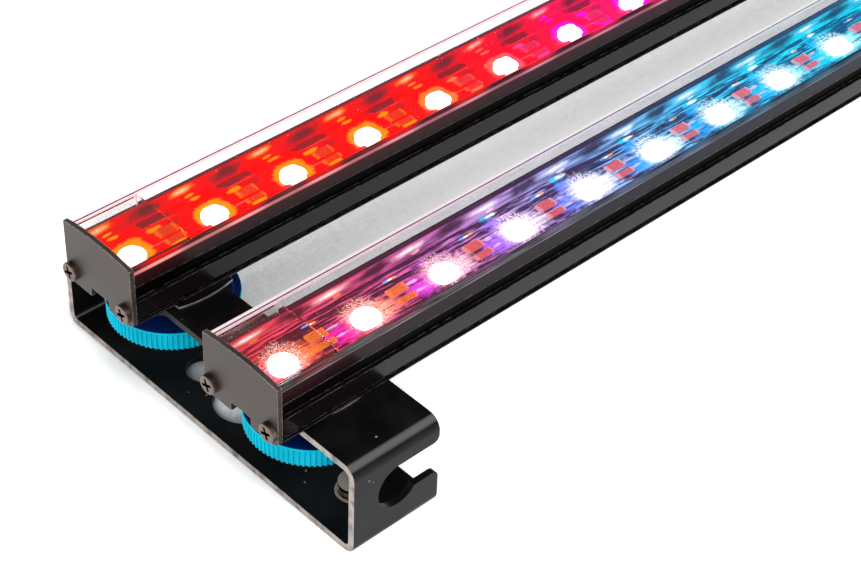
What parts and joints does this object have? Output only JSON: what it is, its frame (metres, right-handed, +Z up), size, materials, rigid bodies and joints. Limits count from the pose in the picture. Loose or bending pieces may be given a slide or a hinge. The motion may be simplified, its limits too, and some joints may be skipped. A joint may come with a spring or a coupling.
{
  "type": "led aquarium light",
  "caption": "Aquarium light of parallel clear-covered LED bars, clamped by ribbed thumb wheels to bent sheet brackets with hook slots and mounting holes.",
  "frame": {"origin": "centre of the footprint, on the surface the brackets stand on", "axes": "+X along the light bars from the near end to the far end, +Y across them towards the left bar, +Z up"},
  "size_m": [0.5838, 0.126, 0.053],
  "materials": {
    "black_aluminium": "satin black anodised",
    "board": "satin solder mask",
    "red_led": "lit",
    "white_led": "lit",
    "board_chips": "moulded",
    "clear_acrylic": "clear, polished",
    "plate_coat": "satin warm grey-brown",
    "dark_steel": "satin",
    "black_plastic": "moulded",
    "bright_steel": "zinc plated",
    "lead_wire": "insulated",
    "bracket_coat": "satin black",
    "bush_coat": "satin black",
    "nylon": "natural",
    "cyan_plastic": "satin, moulded"
  },
  "bodies": {
    "near_bracket": {"near_bracket": "bracket_coat", "near_bushes": "bush_coat", "near_left_pad": "bracket_coat", "near_left_t_nut": "bright_steel", "near_right_pad": "bracket_coat", "near_right_t_nut": "bright_steel"},
    "far_bracket": {"far_bracket": "bracket_coat", "far_bushes": "bush_coat", "far_left_pad": "bracket_coat", "far_left_t_nut": "bright_steel", "far_right_pad": "bracket_coat", "far_right_t_nut": "bright_steel"},
    "left_bar": {"left_channel": "black_aluminium", "left_led_board": "board", "left_leds": "red_led", "left_board_parts": "board_chips", "left_clear_cover": "clear_acrylic", "left_near_insert": "clear_acrylic", "left_far_insert": "clear_acrylic", "left_near_plate": "plate_coat", "left_far_plate": "plate_coat", "left_plate_screws": "dark_steel", "left_inlet": "black_plastic", "left_inlet_nut": "bright_steel", "left_leads": "lead_wire"},
    "right_bar": {"right_channel": "black_aluminium", "right_led_board": "board", "right_leds": "white_led", "right_board_parts": "board_chips", "right_clear_cover": "clear_acrylic", "right_near_insert": "clear_acrylic", "right_far_insert": "clear_acrylic", "right_near_plate": "plate_coat", "right_far_plate": "plate_coat", "right_plate_screws": "dark_steel", "right_inlet": "black_plastic", "right_inlet_nut": "bright_steel", "right_leads": "lead_wire"},
    "near_left_washer": {"near_left_washer": "nylon"},
    "near_left_wheel": {"near_left_thumb_wheel": "cyan_plastic", "near_left_bolt": "bright_steel"},
    "near_right_washer": {"near_right_washer": "nylon"},
    "near_right_wheel": {"near_right_thumb_wheel": "cyan_plastic", "near_right_bolt": "bright_steel"},
    "far_left_washer": {"far_left_washer": "nylon"},
    "far_left_wheel": {"far_left_thumb_wheel": "cyan_plastic", "far_left_bolt": "bright_steel"},
    "far_right_washer": {"far_right_washer": "nylon"},
    "far_right_wheel": {"far_right_thumb_wheel": "cyan_plastic", "far_right_bolt": "bright_steel"}
  },
  "joints": [
    {"name": "left_bar_slide", "type": "slide", "parent": "near_bracket", "child": "left_bar", "axis": [1, 0, 0], "range_m": [-0.015, 0.015]},
    {"name": "right_bar_slide", "type": "slide", "parent": "near_bracket", "child": "right_bar", "axis": [1, 0, 0], "range_m": [-0.015, 0.015]},
    {"name": "far_bracket_slide", "type": "slide", "parent": "near_bracket", "child": "far_bracket", "axis": [1, 0, 0], "range_m": [-0.4, 0]},
    {"name": "near_left_washer_drop", "type": "slide", "parent": "near_bracket", "child": "near_left_washer", "axis": [0, 0, -1], "range_m": [0, 0.002]},
    {"name": "near_left_wheel_turn", "type": "hinge", "parent": "near_left_washer", "child": "near_left_wheel", "pos_m": [-0.2655, 0.0315, 0.0202], "axis": [0, 0, -1], "range_deg": [0, 720]},
    {"name": "near_right_washer_drop", "type": "slide", "parent": "near_bracket", "child": "near_right_washer", "axis": [0, 0, -1], "range_m": [0, 0.002]},
    {"name": "near_right_wheel_turn", "type": "hinge", "parent": "near_right_washer", "child": "near_right_wheel", "pos_m": [-0.2655, -0.0295, 0.0202], "axis": [0, 0, -1], "range_deg": [0, 720]},
    {"name": "far_left_washer_drop", "type": "slide", "parent": "far_bracket", "child": "far_left_washer", "axis": [0, 0, -1], "range_m": [0, 0.002]},
    {"name": "far_left_wheel_turn", "type": "hinge", "parent": "far_left_washer", "child": "far_left_wheel", "pos_m": [0.2655, 0.0315, 0.0202], "axis": [0, 0, -1], "range_deg": [0, 720]},
    {"name": "far_right_washer_drop", "type": "slide", "parent": "far_bracket", "child": "far_right_washer", "axis": [0, 0, -1], "range_m": [0, 0.002]},
    {"name": "far_right_wheel_turn", "type": "hinge", "parent": "far_right_washer", "child": "far_right_wheel", "pos_m": [0.2655, -0.0295, 0.0202], "axis": [0, 0, -1], "range_deg": [0, 720]}
  ],
  "couplings": [
    {"joint": "near_left_washer_drop", "follows": "near_left_wheel_turn", "m_per_rad": 0.00015915},
    {"joint": "near_right_washer_drop", "follows": "near_right_wheel_turn", "m_per_rad": 0.00015915},
    {"joint": "far_left_washer_drop", "follows": "far_left_wheel_turn", "m_per_rad": 0.00015915},
    {"joint": "far_right_washer_drop", "follows": "far_right_wheel_turn", "m_per_rad": 0.00015915}
  ]
}
